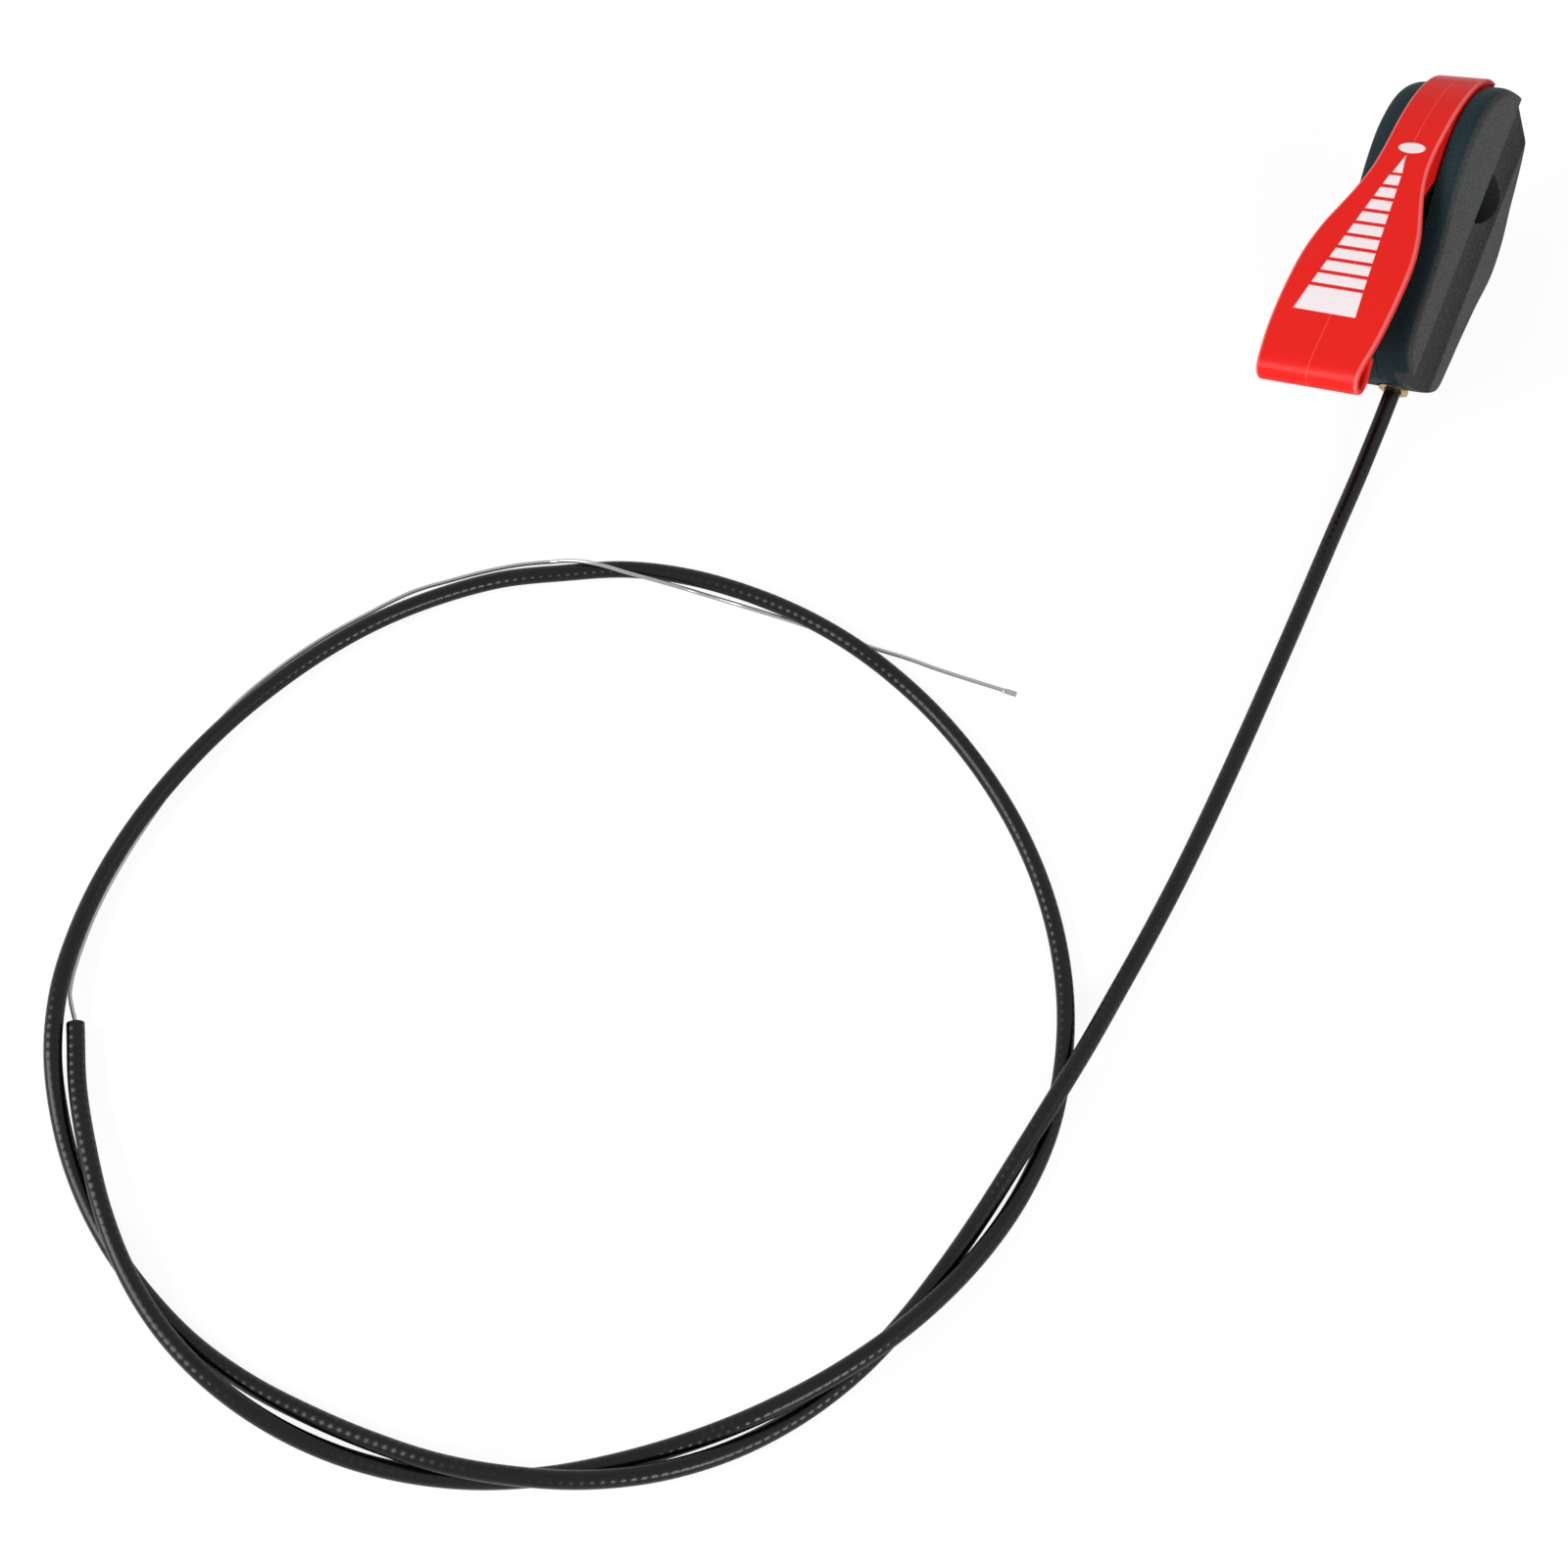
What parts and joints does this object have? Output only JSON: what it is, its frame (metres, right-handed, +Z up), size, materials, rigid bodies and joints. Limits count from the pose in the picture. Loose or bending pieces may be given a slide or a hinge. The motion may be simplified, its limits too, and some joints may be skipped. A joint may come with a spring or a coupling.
{
  "type": "throttle cable",
  "caption": "Mower throttle control: hinged red lever in a dark two-part housing with a bar seat, black sheathed cable in a loose loop and a bare steel wire end.",
  "frame": {"origin": "on the table under the middle of the housing and lever, without the cable", "axes": "+Z up from the table, +Y the way the housing's top end points, +X to the right in the picture"},
  "size_m": [0.3933, 0.386, 0.0608],
  "materials": {
    "left_housing": "fine moulded grain",
    "right_housing": "fine moulded grain",
    "throttle_lever": "glossy, printed white bars",
    "pivot_screw": "zinc plated",
    "pivot_bush": "turned",
    "friction_washer_left": "plain",
    "friction_washer_right": "plain",
    "pivot_insert": "turned",
    "housing_screw_1": "zinc plated",
    "housing_screw_2": "zinc plated",
    "housing_screw_3": "zinc plated",
    "cable_ferrule": "turned",
    "sheath_sleeve": "smooth",
    "inner_wire": "drawn",
    "wire_nipple": "cast",
    "wire_wrap": "drawn",
    "cable_sheath": "glossy, ridged by the winding beneath",
    "wire_tail": "drawn",
    "wire_tip": "fused"
  },
  "bodies": {
    "housing": {"left_housing": "left_housing", "right_housing": "right_housing", "pivot_screw": "pivot_screw", "pivot_bush": "pivot_bush", "friction_washer_left": "friction_washer_left", "friction_washer_right": "friction_washer_right", "pivot_insert": "pivot_insert", "housing_screw_1": "housing_screw_1", "housing_screw_2": "housing_screw_2", "housing_screw_3": "housing_screw_3", "cable_ferrule": "cable_ferrule", "sheath_sleeve": "sheath_sleeve", "cable_sheath": "cable_sheath", "wire_tail": "wire_tail", "wire_tip": "wire_tip"},
    "lever": {"throttle_lever": "throttle_lever", "wire_wrap": "wire_wrap", "wire_nipple": "wire_nipple"},
    "wire": {"inner_wire": "inner_wire"}
  },
  "joints": [
    {"name": "lever_hinge", "type": "hinge", "parent": "housing", "child": "lever", "pos_m": [0.02062, 0.03116, 0.03843], "axis": [-0.74, 0.4927, -0.4578], "range_deg": [0, 65]},
    {"name": "wire_slide", "type": "slide", "parent": "housing", "child": "wire", "axis": [-0.3736, -0.8671, -0.3294], "range_m": [0, 0.0091]}
  ],
  "couplings": [
    {"joint": "wire_slide", "follows": "lever_hinge", "m_per_rad": 0.008}
  ]
}
